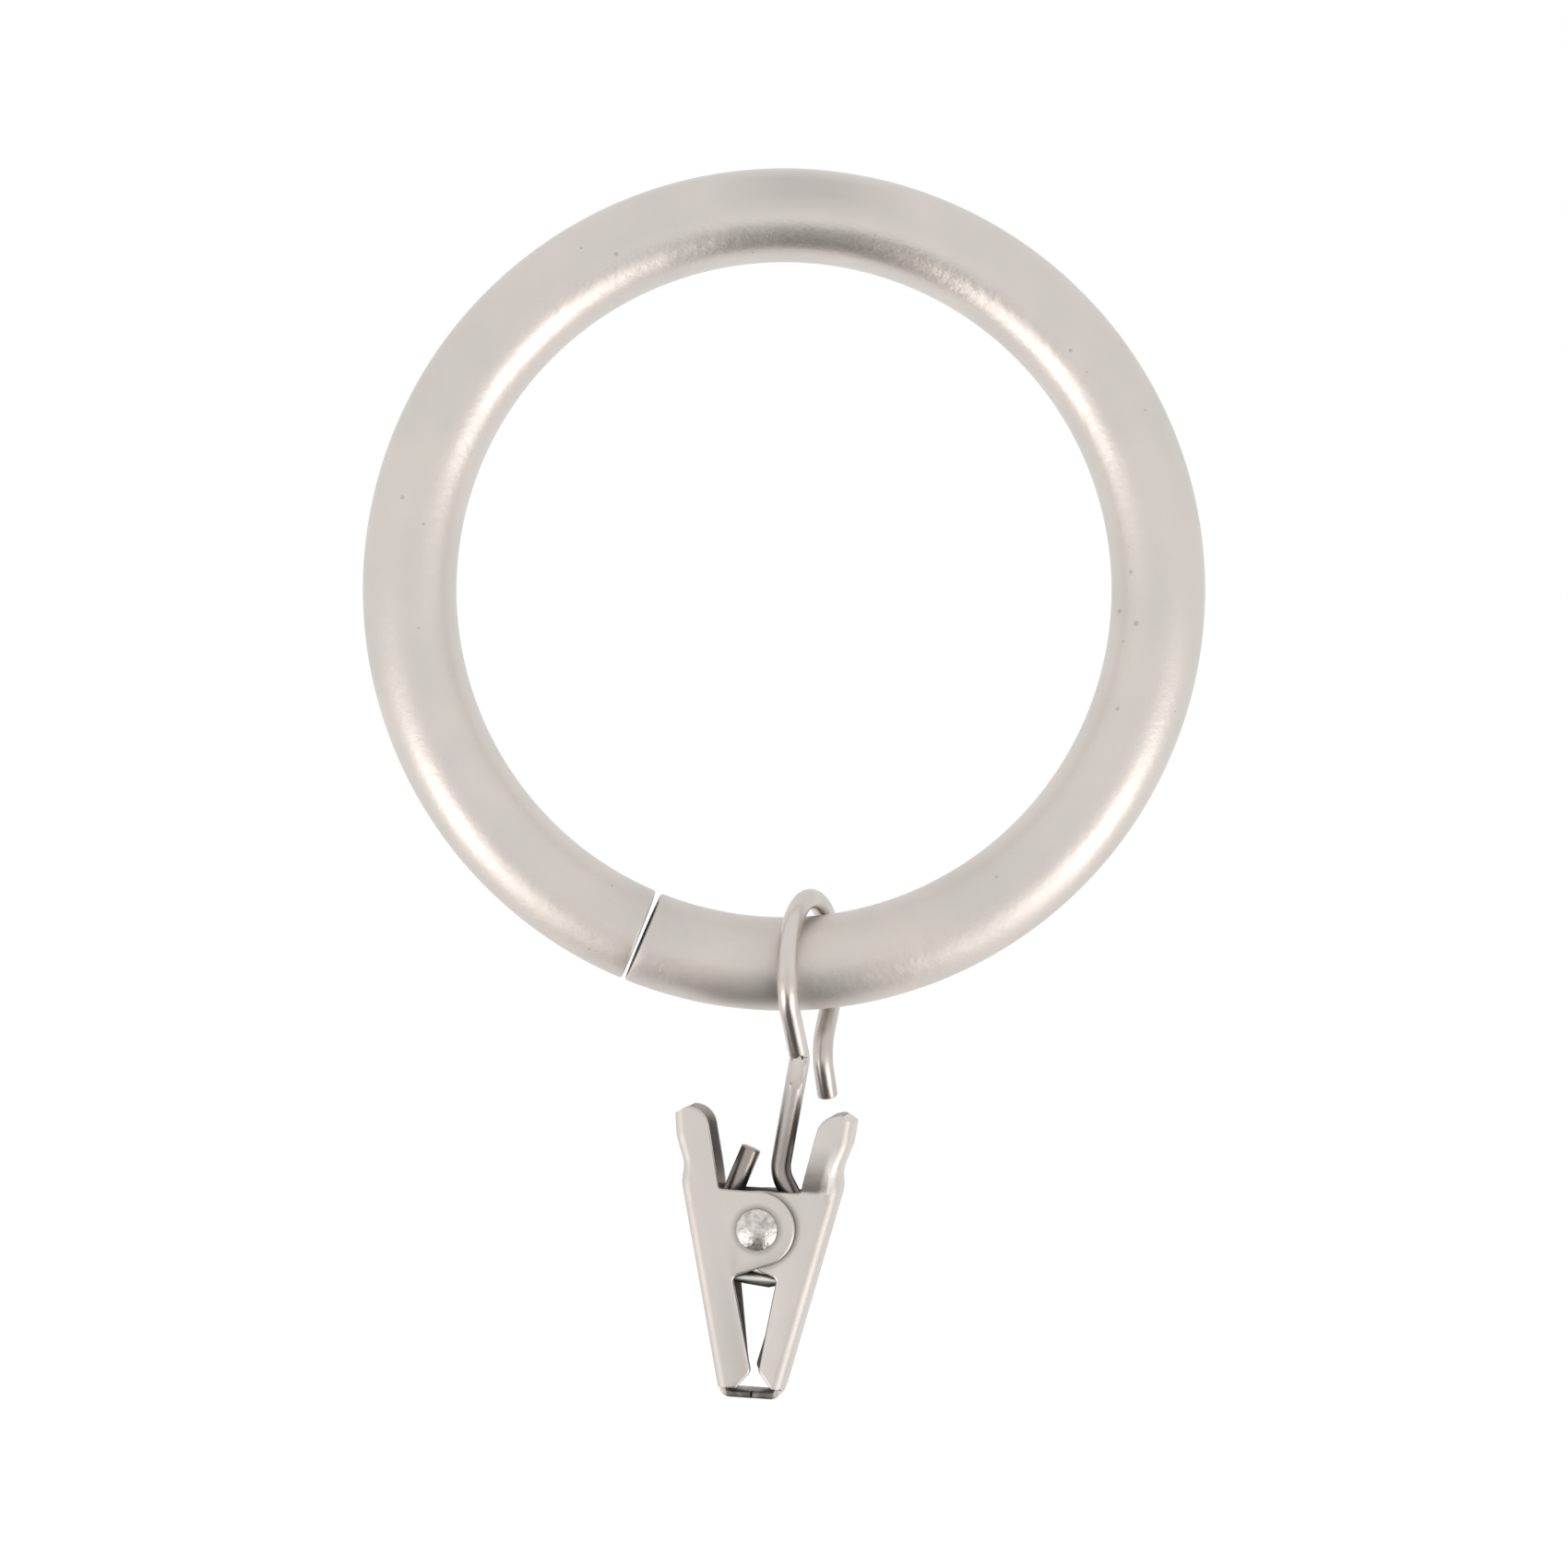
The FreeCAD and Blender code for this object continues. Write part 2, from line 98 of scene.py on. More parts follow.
# Where each mark begins and where it is full, in millimetres: painted shade and highlight, shade with dirt, the
# darker shank and the matt rubbed places.
RUBBED_HEIGHT = (-16.0, -23.0)
REST_BESIDE = (7.5, 1.5)
SHANK_HEIGHT = (-32.5, -37.5)
UNDERSIDE_HEIGHT = (0.05, -0.1)
BEND_OUT = (3.6, 4.3)
STEP_RISE = (2.7, 4.7)
STEP_DEPTH = 0.5
INSIDE_OUT = (4.26, 4.21)
INSIDE_FRONT = (1.78, 1.65)
INSIDE_REAR = (-2.15, -2.05)
INSIDE_TOP = (7.4, 6.8)
LIP_HEIGHT = (-10.7, -11.1)
LIP_ACROSS = (2.1, 1.0)
LIP_ALONG = (1.8, 1.6)
SHADE_TOP = (5.9, 4.2)
SHADE_FOOT = (2.5, 2.7)
SHADE_ALONG = (1.7, 1.9)
SHADE_OUT = (3.7, 3.2)
RIDGE_INNER = (3.3, 3.6)
RIDGE_OUTER = (4.3, 3.9)
LOBE_ALONG = (1.0, 1.5)

# The same for squared distances from the ring's centre or the rivet's axis.
REST_INNER = (625.0, 707.56)
REST_OUTER = (812.25, 761.76)
# Painted contact shade with dirt round the rivet.
RIVET_SHADE_AND_DIRT = (3.3, 1.9)
LOBE_SHADE = (8.6, 6.6)

# How strong each mark is: painted shade and highlight, shade with dirt, and the specks.
REST_SHARE = 0.5
UNDERSIDE_SHARE = 0.9
INSIDE_SHARE = 0.9
LIP_SHARE = 0.85
SHADE_SHARE = 0.5
RIDGE_SHARE = 0.8
SHADE_AND_DIRT_SHARE = 0.5
LOBE_SHARE = 0.45
SPECK_SHARE = 0.4

# Sizes of the patterns in the metal, as noise scales, and the range of the noise that shows.
GRAIN_SCALE = 5200.0
PIT_SCALE = 2300.0
SPECK_SCALE = 620.0
SPECK_FIELD_SCALE = 290.0
LIP_PATCH_SCALE = 1300.0
CLOUD_RANGE = (0.35, 0.7)
SPECK_FIELD_RANGE = (0.48, 0.72)
LIP_PATCH_RANGE = (0.3, 0.5)
SPECK_SIZE = 0.15

# What the patterns add to the roughness.
GRAIN_ROUGHNESS = 0.12
CLOUD_ROUGHNESS = 0.04
SPECK_ROUGHNESS = 0.1
RUBBED_ROUGHNESS = 0.14

# Heights of the grain, the pits and the dents in metres, and the noise scales of the dents and the clouds.
Relief = namedtuple("Relief", "grain pits dents dent_scale cloud_scale")
RING_RELIEF = Relief(3e-6, 1.8e-5, 5e-5, 330.0, 160.0)
WIRE_RELIEF = Relief(1e-6, 5e-6, 2e-5, 700.0, 160.0)
RIVET_RELIEF = Relief(4e-6, 3e-5, 5e-5, 3800.0, 2100.0)
SPRING_RELIEF = Relief(1e-6, 3e-6, 1e-5, 900.0, 160.0)
JAW_RELIEF = Relief(2e-6, 8e-6, 3e-5, 500.0, 160.0)

WHITE = (1, 1, 1, 1)
SIDE_LIGHT_WAY = (0.64, -0.42, -0.64)
FLOOR_SIZE = 8.0
SENSOR_WIDTH = 36.0
CLIP_START = 0.01

JOINTS = {joint["name"]: joint for joint in frame["joints"]}
TUBE_AT_HOOK = Vector(JOINTS["hook_swing"]["pos_m"])
PIVOT = Vector(JOINTS["clip_swing"]["pos_m"])


def length(name, description, millimetres):
    """A size, given in millimetres and shown in the scene's own length unit."""
    return FloatProperty(name=name, description=description, default=millimetres * MM, unit="LENGTH", precision=5)


def turn(name, description, degrees):
    """An angle."""
    return FloatProperty(name=name, description=description, default=math.radians(degrees), unit="ROTATION")


def share(name, description, value):
    """A plain number."""
    return FloatProperty(name=name, description=description, default=value, precision=4)


def colour(name, description, red, green, blue):
    """A colour without alpha."""
    return FloatVectorProperty(name=name, description=description, default=(red, green, blue), subtype="COLOR",
                               size=3, min=0.0, max=1.0)


class RingSizes(bpy.types.PropertyGroup):
    """Sizes of the bent tube."""
    outside: length("Outside diameter", "Across the whole ring", 57.15)
    tube: length("Tube diameter", "Thickness of the tube", 6.35)
    wall: length("Wall", "Thickness of the tube's wall, seen in the open seam", 0.5)
    seam_angle: turn("Seam angle", "How far the seam lies to the left of the lowest point", 22.5)
    seam_lean: turn("Seam lean", "How far the seam is turned away from the rod's direction", 2.5)
    seam_inside: length("Seam inside", "Opening of the seam at the ring's inside", 0.45)
    seam_outside: length("Seam outside", "Opening of the seam at the ring's outside", 0.22)
    seam_round: length("Seam rounding", "Rounding of the tube's two ends", 0.18)
    sides: IntProperty(name="Sides", description="Faces round the tube", default=72, min=12)
    steps: IntProperty(name="Steps", description="Faces along the ring", default=288, min=24)


class HookSizes(bpy.types.PropertyGroup):
    """Sizes of the bent wire."""
    wire: length("Wire diameter", "Thickness of the wire", 1.38)
    clearance: length("Clearance", "Play between the wire and the ring's tube", 0.485)
    hook_turn: turn("Turn", "How far the loop is turned away from the rod's direction", 21.0)
    shoulder_drop: length("Shoulder drop", "Height of the loop's lower bends below the tube's centre", 2.2)
    shoulder_bend: length("Shoulder bend", "Radius of the loop's lower bends", 3.0)
    throat_half: length("Throat", "Distance of the open limb from the tube's centre line", 2.1)
    throat_drop: length("Throat drop", "Depth of the throat below the tube's centre", 6.0)
    throat_bend: length("Throat bend", "Radius of the open limb's bend", 3.0)
    flare: length("Flare", "How far the open end stands out", 1.3)
    flare_length: length("Flare length", "Height of the flared end", 3.2)
    kink_across: length("Kink across", "Place of the kink beside the tube's centre", -0.7)
    kink_forward: length("Kink forward", "Place of the kink in front of the tube's centre", 1.0)
    kink_drop: length("Kink drop", "Depth of the kink below the tube's centre", 6.4)
    kink_bend: length("Kink bend", "Radius of the kink", 0.9)
    pinch_start: length("Pinch start", "Place of the pressed flat below the kink", -0.15)
    pinch_length: length("Pinch length", "Length of the pressed flat", 1.9)
    pinch_depth: length("Pinch depth", "Depth of the pressed flat", 0.14)
    shank_lean: turn("Shank lean", "Slope of the wire into the eye", 30.0)
    shank_bend: length("Shank bend", "Radius of the bend above the eye", 2.2)
    shank_height: length("Shank height", "Height of that bend above the rivet", 3.8)
    eye_bend: length("Eye radius", "Radius of the eye round the rivet", 2.5)
    eye_drop: length("Eye drop", "Depth of the eye below the rivet", 1.88)
    tail_lean: turn("Tail lean", "Slope of the cut tail", 20.0)
    tail_height: length("Tail height", "Height of the cut tail above the rivet", 5.35)
    end_round: length("End rounding", "Broken edge of the two cut ends", 0.12)
    sides: IntProperty(name="Sides", description="Faces round the wire", default=40, min=8)


class ClipSizes(bpy.types.PropertyGroup):
    """Sizes of the rivet and the leaf spring, and how the clip hangs."""
    clip_turn: turn("Clip turn", "How far the clip is turned on its wire", 6.5)
    clip_tilt: turn("Clip tilt", "How far the clip leans to its side", 3.1)
    jaw_width: length("Jaw width", "Width of the clip along the rivet", 5.0)
    shank: length("Rivet shank", "Diameter of the rivet between the ears", 2.0)
    head: length("Rivet head", "Diameter of the domed head", 2.78)
    head_height: length("Head height", "Height of the domed head", 0.6)
    head_rim: length("Head rim", "Height of the head's straight rim", 0.12)
    head_gap: length("Head gap", "Play between a head and its ear", 0.03)
    clinch: length("Clinched end", "Diameter of the clinched end", 2.9)
    clinch_height: length("Clinch height", "Height of the clinched end", 0.42)
    dimple: length("Dimple", "Radius of the clinched end's dimple", 0.6)
    dimple_depth: length("Dimple depth", "Depth of that dimple", 0.35)
    strip: length("Spring strip", "Thickness of the leaf spring's legs", 0.4)
    strip_width: length("Spring width", "Width of the leaf spring", 2.5)
    strip_edge: length("Spring edges", "Rounding of the leaf spring's edges", 0.18)
    spring_bend: length("Spring bend", "Radius of the spring's two bends", 1.6)
    spring_drop: length("Spring drop", "Depth of its flat bottom below the rivet", 3.5)
    spring_foot: length("Spring foot", "Half the width of its flat bottom", 3.1)
    bottom_swell: share("Bottom swell", "How many times thicker the middle of its bottom is", 2.0)
    swell_start: length("Swell start", "Distance from the clip's middle where that swell begins", 1.8)
    seat_across: length("Spring seat", "Distance of its seats from the clip's middle", 4.458)
    seat_height: length("Seat height", "Height of its seats above the rivet", 4.1)
    spring_tip: length("Spring tip", "Length of the legs beyond their seats", 1.0)
    bow_across: length("Leg bow", "Distance of the bowed legs from the clip's middle, clear of the wire's eye", 4.05)
    bow_height: length("Bow height", "Height of that bow above the rivet", 0.6)
    bow_bend: length("Bow bend", "Radius of the bow", 8.0)
    jaw_edge: length("Jaw edges", "Rounding that the die leaves on the stamped edges", 0.16)
    step_across: length("Step across", "Distance of the stepped ear's corner from the clip's middle", 4.7)
    step_height: length("Step height", "Height of that corner above the rivet", 4.3)
    step_reach: length("Step reach", "How far the edges stay plain round that corner", 0.6)


class MetalColours(bpy.types.PropertyGroup):
    """Colours and smoothness of the metals, with the colours of the painted shade and highlight."""
    nickel: colour("Satin nickel", "Colour of the ring and the jaws", 0.662, 0.614, 0.572)
    nickel_dull: colour("Dull nickel", "Colour of the cloudier places", 0.618, 0.58, 0.548)
    wire: colour("Wire", "Colour of the drawn wire", 0.64, 0.595, 0.555)
    wire_dull: colour("Dull wire", "Colour of its cloudier places", 0.52, 0.48, 0.445)
    # The tone the wire darkens to below its kink.
    wire_shank: colour("Worn wire", "Colour of the shank and the eye", 0.35, 0.315, 0.295)
    # Painted shade inside the jaws' channels and on the stepped ear.
    inside: colour("Inside", "Colour of the jaws between their ears", 0.24, 0.215, 0.2)
    # Painted shade on the lips, under the spring and beside the lobe, and painted shade with dirt round the rivet.
    shade_and_grime: colour("Grime", "Colour of the dirt on the lips", 0.13, 0.115, 0.105)
    rivet: colour("Rivet", "Colour of the rivet", 0.74, 0.7, 0.665)
    # Besides the rivet's hammered hollows, this is the colour of the painted shade low on the tube beside the hook.
    rivet_dull_and_tube_shade: colour("Dull rivet", "Colour of its hammered hollows", 0.4, 0.38, 0.365)
    # The spring's own colour, also painted as a highlight along the jaws' outer bends.
    spring: colour("Spring", "Colour of the leaf spring", 0.9, 0.87, 0.84)
    speck: colour("Speck", "Colour of the small dark specks", 0.3, 0.27, 0.25)
    satin: share("Satin roughness", "Roughness of the ring", 0.37)
    stamped: share("Stamped roughness", "Roughness of the jaws", 0.38)
    bright: share("Bright roughness", "Roughness of the wire and the spring", 0.3)
    hammered: share("Hammered roughness", "Roughness of the rivet", 0.36)


class StageSettings(bpy.types.PropertyGroup):
    """Camera, floor and lights."""
    distance: length("Camera distance", "From the camera to the ring", 380.0)
    frame_width: length("Frame width", "Width of the picture at the ring", 106.4)
    centre_height: length("Picture centre", "Height of the picture's centre", -13.19)
    floor_drop: length("Floor", "Depth of the floor below the ring's centre", 300.0)
    floor_shade: colour("Floor shade", "Colour of the floor", 0.5, 0.5, 0.5)
    floor_glow: share("Floor glow", "White added where the floor is seen", 0.55)
    side_light: share("Side lights", "Brightness of the two low side lights", 2.1)
    side_colour: colour("Side light colour", "Colour of the two low side lights", 1.0, 0.95, 0.9)
    side_distance: length("Side light distance", "From the ring to a side light", 360.0)
    side_size: length("Side light size", "Width of a side light", 230.0)
    card_shade: share("Dark card", "Brightness of the dark card below", 0.05)
    card_drop: length("Card drop", "Depth of the dark card below the ring's centre", 270.0)
    card_front: length("Card front", "Distance of the card's front edge in front of the ring", 540.0)
    card_rear: length("Card rear", "Distance of the card's rear edge in front of the ring", -25.0)
    card_left: length("Card left", "Reach of the dark card to the left", 180.0)
    card_right: length("Card right", "Reach of the dark card to the right", 80.0)


class Signal:
    """A shader value that can stand in a Python expression."""

    def __init__(self, finish, socket):
        self.finish = finish
        self.socket = socket

    def combine(self, operation, first, second):
        return self.finish.node("ShaderNodeMath", {"operation": operation}, {0: first, 1: second})

    def __add__(self, other):
        return self.combine("ADD", self, other)

    def __radd__(self, other):
        return self.combine("ADD", other, self)

    def __sub__(self, other):
        return self.combine("SUBTRACT", self, other)

    def __rsub__(self, other):
        return self.combine("SUBTRACT", other, self)

    def __mul__(self, other):
        return self.combine("MULTIPLY", self, other)

    def __rmul__(self, other):
        return self.combine("MULTIPLY", other, self)

    def __abs__(self):
        return self.combine("ABSOLUTE", self, 0.0)

    def __lt__(self, other):
        return self.combine("LESS_THAN", self, other)

    def __gt__(self, other):
        return self.combine("GREATER_THAN", self, other)


class Finish:
    """A node tree that is filled through one method."""

    def __init__(self, tree):
        self.tree = tree
        self.tree.nodes.clear()

    def node(self, kind, settings, sockets, output=0):
        made = self.tree.nodes.new(kind)
        for name, value in settings.items():
            setattr(made, name, value)
        for key, value in sockets.items():
            if isinstance(value, Signal):
                self.tree.links.new(value.socket, made.inputs[key])
            else:
                made.inputs[key].default_value = value
        return Signal(self, made.outputs[output]) if made.outputs else None

    def noise(self, place, scale, detail=2.0, roughness=0.5):
        sockets = {"Vector": place, "Scale": scale, "Detail": detail, "Roughness": roughness}
        return self.node("ShaderNodeTexNoise", {}, sockets)

    def part(self, place, axis):
        """One coordinate of a place."""
        return self.node("ShaderNodeSeparateXYZ", {}, {"Vector": place}, output=axis)

    def mix(self, factor, first, second):
        return self.node("ShaderNodeMix", {"data_type": "RGBA"}, {0: factor, 6: first, 7: second}, output=2)

    def spread(self, value, limits, unit=1.0):
        """A value stretched so that the first limit becomes 0 and the second becomes 1."""
        sockets = {"Value": value, "From Min": limits[0] * unit, "From Max": limits[1] * unit}
        return self.node("ShaderNodeMapRange", {"clamp": True}, sockets)

    def fade(self, distance, limits):
        """The same with limits in millimetres."""
        return self.spread(distance, limits, MM)

    def fade_squared(self, distance, limits):
        """The same with limits in square millimetres."""
        return self.spread(distance, limits, MM * MM)


def solid(rgb):
    """A colour with full alpha, as a socket takes it."""
    return (*rgb, 1.0)


def rubbed_tube(finish, place):
    """The lowest part of the ring, made matt by the hook that slides on it."""
    return finish.fade(finish.part(place, "Z"), RUBBED_HEIGHT)


def shade_by_hook(metals):
    """Painted shade low on the tube beside the hook, standing in for the hook's shadow and reflection."""
    def marks(finish, place, toned):
        across = finish.part(place, "X")
        height = finish.part(place, "Z")
        out = across * across + height * height
        beside = finish.fade(abs(across - TUBE_AT_HOOK.x), REST_BESIDE)
        low = finish.fade_squared(out, REST_INNER) * finish.fade_squared(out, REST_OUTER)
        # painted shade: the tube mixed towards a dark colour beside the hook
        return finish.mix(beside * low * REST_SHARE, toned, solid(metals.rivet_dull_and_tube_shade))
    return marks


def darker_shank(metals):
    """The wire darker below its kink, fully so a few millimetres further down."""
    def marks(finish, place, toned):
        worn = finish.fade(finish.part(place, "Z"), SHANK_HEIGHT)
        return finish.mix(worn, toned, solid(metals.wire_shank))
    return marks


def clip_coordinates(finish, place, sizes, side=1):
    """Distance from the clip's middle, place along the rivet and height above the rivet."""
    local = finish.node("ShaderNodeMapping", {"vector_type": "TEXTURE"},
                        {"Vector": place, "Location": PIVOT, "Rotation": clip_place(sizes).to_euler()})
    return abs(finish.part(local, "X")), finish.part(local, "Y") * side, finish.part(local, "Z")


def soft_bends(sizes):
    """The outer bends of a jaw, left matt by the die."""
    def rubbed(finish, place):
        across, _, height = clip_coordinates(finish, place, sizes)
        return finish.fade(across - height * WEB_SLOPE, BEND_OUT)
    return rubbed


def dark_underside(metals, sizes):
    """Painted shade on the lower half of the spring's flat bottom."""
    def marks(finish, place, toned):
        _, _, height = clip_coordinates(finish, place, sizes)
        shade = finish.fade(height + sizes.spring_drop, UNDERSIDE_HEIGHT)
        # painted shade: the lower half of the bottom mixed towards the dark shade colour
        return finish.mix(shade * UNDERSIDE_SHARE, toned, solid(metals.shade_and_grime))
    return marks


def jaw_shade_and_highlight(metals, sizes, side):
    """Painted shade between the ears, in patches on the lip, on the step and beside the lobe; a painted highlight
    along the outer bend; painted shade with dirt round the rivet.
    """
    def marks(finish, place, toned):
        across, along, height = clip_coordinates(finish, place, sizes, side)
        out = across - height * WEB_SLOPE
        from_axis = across * across + height * height
        stepped = finish.fade(height, STEP_RISE) * (STEP_DEPTH * MM)
        within = finish.fade(out, INSIDE_OUT) * finish.fade(along - stepped, INSIDE_FRONT)
        within = within * finish.fade(along, INSIDE_REAR) * finish.fade(height, INSIDE_TOP)
        lip = finish.fade(height, LIP_HEIGHT) * finish.fade(across, LIP_ACROSS) * finish.fade(abs(along), LIP_ALONG)
        lip = lip * finish.spread(finish.noise(place, LIP_PATCH_SCALE), LIP_PATCH_RANGE)
        on_step = finish.fade(height, SHADE_TOP) * finish.fade(height, SHADE_FOOT) * finish.fade(along, SHADE_ALONG)
        ridge = finish.fade(out, RIDGE_INNER) * finish.fade(out, RIDGE_OUTER)
        by_lobe = finish.fade_squared(from_axis, LOBE_SHADE) * finish.fade(along, LOBE_ALONG)
        # painted shade inside the channel between the ears
        toned = finish.mix(within * INSIDE_SHARE, toned, solid(metals.inside))
        # painted shade in patches on the lips
        toned = finish.mix(lip * LIP_SHARE, toned, solid(metals.shade_and_grime))
        # painted shade on the stepped ear
        toned = finish.mix(on_step * finish.fade(out, SHADE_OUT) * SHADE_SHARE, toned, solid(metals.inside))
        # painted highlight along the outer bend
        toned = finish.mix(on_step * ridge * RIDGE_SHARE, toned, solid(metals.spring))
        # painted contact shade round the rivet, with some dirt
        toned = finish.mix(finish.fade_squared(from_axis, RIVET_SHADE_AND_DIRT) * SHADE_AND_DIRT_SHARE, toned, solid(metals.shade_and_grime))
        # painted shadow beside the lobe
        return finish.mix(by_lobe * LOBE_SHARE, toned, solid(metals.shade_and_grime))
    return marks


def metal_finish(name, main, cloudy, speck, roughness, relief, marks=None, rubbed=None):
    """Plated metal: cloudy tone, fine grain, small pits, shallow dents, a few dark specks, and any given marks:
    painted shade and highlight, dirt, a darker shank and matt rubbed places.
    """
    material = bpy.data.materials.new(name)
    material.use_nodes = True
    finish = Finish(material.node_tree)
    place = finish.node("ShaderNodeTexCoord", {}, {}, output="Object")
    clouds = finish.spread(finish.noise(place, relief.cloud_scale, detail=3.0), CLOUD_RANGE)
    fine = finish.noise(place, GRAIN_SCALE, detail=3.0, roughness=0.6)
    pitted = finish.noise(place, PIT_SCALE, roughness=0.6)
    dented = finish.noise(place, relief.dent_scale)
    cells = finish.node("ShaderNodeTexVoronoi", {"feature": "F1"}, {"Vector": place, "Scale": SPECK_SCALE})
    specks = cells < finish.spread(finish.noise(place, SPECK_FIELD_SCALE), SPECK_FIELD_RANGE) * SPECK_SIZE
    toned = finish.mix(clouds, solid(main), solid(cloudy))
    if marks:
        toned = marks(finish, place, toned)
    shaded = finish.mix(specks * SPECK_SHARE, toned, solid(speck))
    rough = roughness + (fine - 0.5) * GRAIN_ROUGHNESS + clouds * CLOUD_ROUGHNESS + specks * SPECK_ROUGHNESS
    if rubbed:
        rough = rough + rubbed(finish, place) * RUBBED_ROUGHNESS
    height = fine * relief.grain + pitted * relief.pits + dented * relief.dents - specks * relief.grain
    bump = finish.node("ShaderNodeBump", {}, {"Strength": 1.0, "Distance": 1.0, "Height": height})
    surface = finish.node("ShaderNodeBsdfPrincipled", {}, {
        "Base Color": shaded, "Metallic": 1.0, "Roughness": rough, "Normal": bump})
    finish.node("ShaderNodeOutputMaterial", {}, {"Surface": surface})
    return material


def clear_selection():
    """Nothing selected, in object mode."""
    if bpy.context.object and bpy.context.object.mode != "OBJECT":
        bpy.ops.object.mode_set(mode="OBJECT")
    bpy.ops.object.select_all(action="DESELECT")


def name_piece(name, place):
    """Name the new primitive, set it at its place and open it for editing."""
    piece = bpy.context.object
    piece.name = name
    piece.data.name = name
    piece.matrix_world = place
    bpy.ops.object.transform_apply(location=True, rotation=True, scale=True)
    bpy.ops.object.mode_set(mode="EDIT")
    bpy.ops.mesh.select_all(action="SELECT")
    return piece


def begin_circle(name, sides, radius, place):
    """The open end of a tube, a wire or a turned piece."""
    clear_selection()
    bpy.ops.mesh.primitive_circle_add(vertices=sides, radius=radius, fill_type="NOTHING")
    return name_piece(name, place)


def extrude_by(vector, divisions=1):
    """A straight run, in equal steps."""
    for _ in range(divisions):
        bpy.ops.mesh.extrude_region_move(TRANSFORM_OT_translate={"value": vector / divisions})


def spin_about(centre, axis, angle, steps):
    """A bend, right-handed about its axis; the operator itself turns the other way."""
    bpy.ops.mesh.spin(steps=steps, angle=-angle, center=centre, axis=axis)


def run_straight(start, end):
    """Straight stock between two bends."""
    run = end - start
    if run.length > NEAR:
        extrude_by(run, max(1, round(run.length / RUN_STEP)))


def run_and_bend(start, before, corner, after, radius):
    """Straight stock up to a bend, then the bend; gives the place where it ends."""
    back = (before - corner).normalized()
    ahead = (after - corner).normalized()
    half = back.angle(ahead) / 2
    run_straight(start, corner + back * (radius / math.tan(half)))
    centre = corner + (back + ahead).normalized() * (radius / math.sin(half))
    bend = math.pi - 2 * half
    spin_about(centre, (-back).cross(ahead).normalized(), bend, max(2, round(bend / BEND_STEP)))
    return corner + ahead * (radius / math.tan(half))


def round_edges(piece, width, segments, angle):
    """Every edge sharper than the angle rounded by a bevel."""
    bpy.ops.object.mode_set(mode="OBJECT")
    rounding = piece.modifiers.new("Rounded edges", "BEVEL")
    rounding.width = width
    rounding.segments = segments
    rounding.angle_limit = angle
    rounding.use_clamp_overlap = False
    bpy.ops.object.modifier_apply(modifier=rounding.name)


def copy_node(node, name):
    """A merged copy of a stamped node, each flat face in one piece."""
    clear_selection()
    source = frame["nodes"][node]
    source.select_set(True)
    bpy.context.view_layer.objects.active = source
    bpy.ops.object.duplicate()
    piece = bpy.context.object
    piece.name = name
    piece.data.name = name
    piece.parent = None
    del piece["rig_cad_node"]
    bpy.ops.object.mode_set(mode="EDIT")
    bpy.ops.mesh.customdata_custom_splitnormals_clear()
    bpy.ops.mesh.select_all(action="SELECT")
    bpy.ops.mesh.remove_doubles(threshold=NEAR)
    bpy.ops.mesh.dissolve_limited(angle_limit=FLAT_ANGLE)
    bpy.ops.mesh.select_all(action="DESELECT")
    bpy.ops.object.mode_set(mode="OBJECT")
    return piece


def select_stamped_edges(piece, axis, plain_place, plain_reach):
    """The outline of the two outer flat sides, apart from what lies near the plain place."""
    mesh = piece.data
    beside = {}
    for face in mesh.polygons:
        for key in face.edge_keys:
            beside.setdefault(key, []).append(face)
    for edge in mesh.edges:
        first, second = (mesh.vertices[index].co for index in edge.vertices)
        middle = (first + second) / 2
        outer = [face for face in beside[edge.key] if abs(face.normal.dot(axis)) > FACING
                 and face.normal.dot(axis) * (face.center - PIVOT).dot(axis) > 0]
        if len(outer) != 1 or (middle - plain_place).length < plain_reach:
            continue
        for face in beside[edge.key]:
            falls = (face.center - middle).dot(outer[0].normal) < 0
            if falls and face.normal.angle(outer[0].normal) > STAMPED_ANGLE:
                edge.select = True
                for index in edge.vertices:
                    mesh.vertices[index].select = True


def shrink_to(kept, centre):
    """The selected loop made smaller about its centre."""
    bpy.ops.transform.resize(value=(kept, kept, kept), center_override=centre)


def close_and_break_edge(width):
    """The selected loop filled, and the edge of the new face rounded."""
    bpy.ops.mesh.edge_face_add()
    bpy.ops.mesh.bevel(offset=width, segments=EDGE_STEPS, affect="EDGES")


def square_to(direction, place):
    """A placement whose Z runs along a direction."""
    return Matrix.Translation(place) @ direction.to_track_quat("Z", "Y").to_matrix().to_4x4()


def select_points(piece, chosen):
    """Only the points whose place passes a test, in edit mode."""
    bpy.ops.mesh.select_all(action="DESELECT")
    bpy.ops.object.mode_set(mode="OBJECT")
    for vertex in piece.data.vertices:
        vertex.select = chosen(vertex.co)
    bpy.ops.object.mode_set(mode="EDIT")


def finish_piece(piece, node, material):
    """Outward normals, smooth shading and a finish, in place of the CAD node."""
    bpy.ops.object.mode_set(mode="EDIT")
    bpy.ops.mesh.select_all(action="SELECT")
    bpy.ops.mesh.remove_doubles(threshold=NEAR)
    bpy.ops.mesh.normals_make_consistent(inside=False)
    bpy.ops.object.mode_set(mode="OBJECT")
    bpy.ops.object.shade_smooth_by_angle(angle=SMOOTH_ANGLE)
    piece.data.materials.clear()
    piece.data.materials.append(material)
    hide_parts(node)


def clip_place(sizes):
    """Placement of the clip's own frame: X across the jaws, Y along the rivet, Z up the handles."""
    turned = Matrix.Rotation(-sizes.clip_turn, 4, "Z") @ Matrix.Rotation(sizes.clip_tilt, 4, "Y")
    return Matrix.Translation(PIVOT) @ turned


